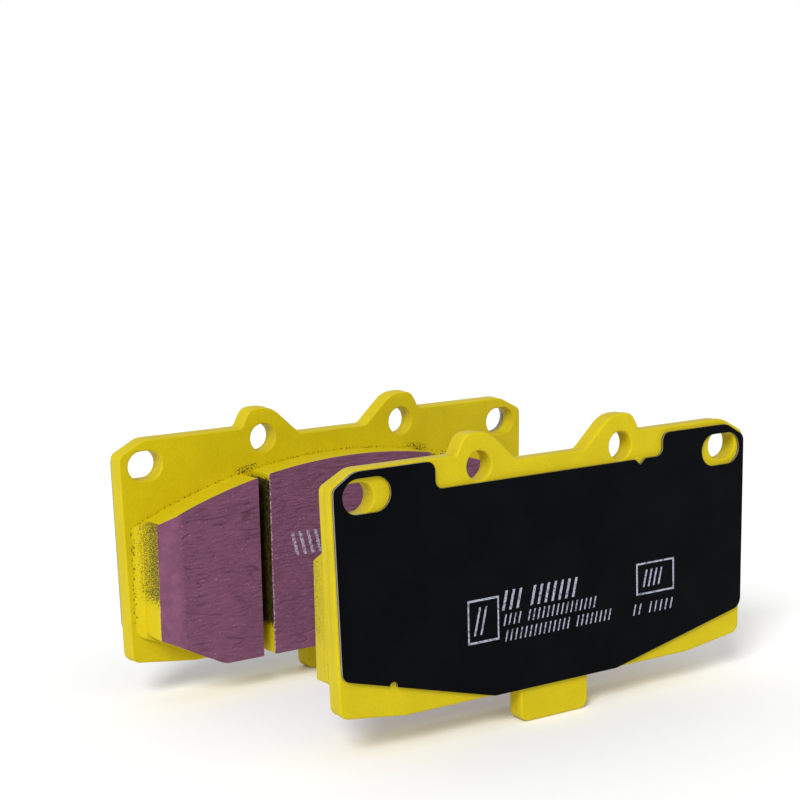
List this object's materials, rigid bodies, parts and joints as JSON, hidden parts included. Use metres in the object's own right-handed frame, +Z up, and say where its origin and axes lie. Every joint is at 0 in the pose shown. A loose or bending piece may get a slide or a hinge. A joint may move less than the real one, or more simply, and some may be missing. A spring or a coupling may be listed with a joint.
{
  "type": "disc brake pad pair",
  "caption": "Slotted disc brake pads for an opposed-piston caliper, with painted backing plates, chamfered friction blocks and black noise shims, facing each other across the disc space.",
  "frame": {"origin": "middle of the bounding box at the bottom, on the surface that the two locating tabs stand on", "axes": "+X along the pads' width, +Y from the front pad to the rear pad along the retaining pins and the disc's axle, +Z up from the tabs to the pin ears"},
  "size_m": [0.146, 0.082, 0.0742],
  "materials": {
    "plate_paint": "semi-gloss powder coat with an orange-peel texture",
    "friction": "dry, pressed friction compound, smooth at the chamfers",
    "bedding_coat": "rough, ridged bedding-in coat",
    "underlayer": "coarse pressed binder",
    "shim_rubber": "thin smooth satin rubber coat",
    "shim_steel": "bright sheared edge",
    "shim_adhesive": "thin clear adhesive film"
  },
  "bodies": {
    "front_pad": {"front_backing_plate": "plate_paint", "front_underlayer_left": "underlayer", "front_underlayer_middle": "underlayer", "front_underlayer_right": "underlayer", "front_friction_left": "friction", "front_friction_middle": "friction", "front_friction_right": "friction", "front_coat_left": "bedding_coat", "front_coat_middle": "bedding_coat", "front_coat_right": "bedding_coat", "front_shim_adhesive": "shim_adhesive", "front_shim_inner_rubber": "shim_rubber", "front_shim_core": "shim_steel", "front_shim_outer_rubber": "shim_rubber"},
    "rear_pad": {"rear_backing_plate": "plate_paint", "rear_underlayer_left": "underlayer", "rear_underlayer_middle": "underlayer", "rear_underlayer_right": "underlayer", "rear_friction_left": "friction", "rear_friction_middle": "friction", "rear_friction_right": "friction", "rear_coat_left": "bedding_coat", "rear_coat_middle": "bedding_coat", "rear_coat_right": "bedding_coat", "rear_shim_adhesive": "shim_adhesive", "rear_shim_inner_rubber": "shim_rubber", "rear_shim_core": "shim_steel", "rear_shim_outer_rubber": "shim_rubber"}
  },
  "joints": [
    {"name": "pad_slide", "type": "slide", "parent": "front_pad", "child": "rear_pad", "axis": [0, 1, 0], "range_m": [-0.051, 0.03]}
  ]
}
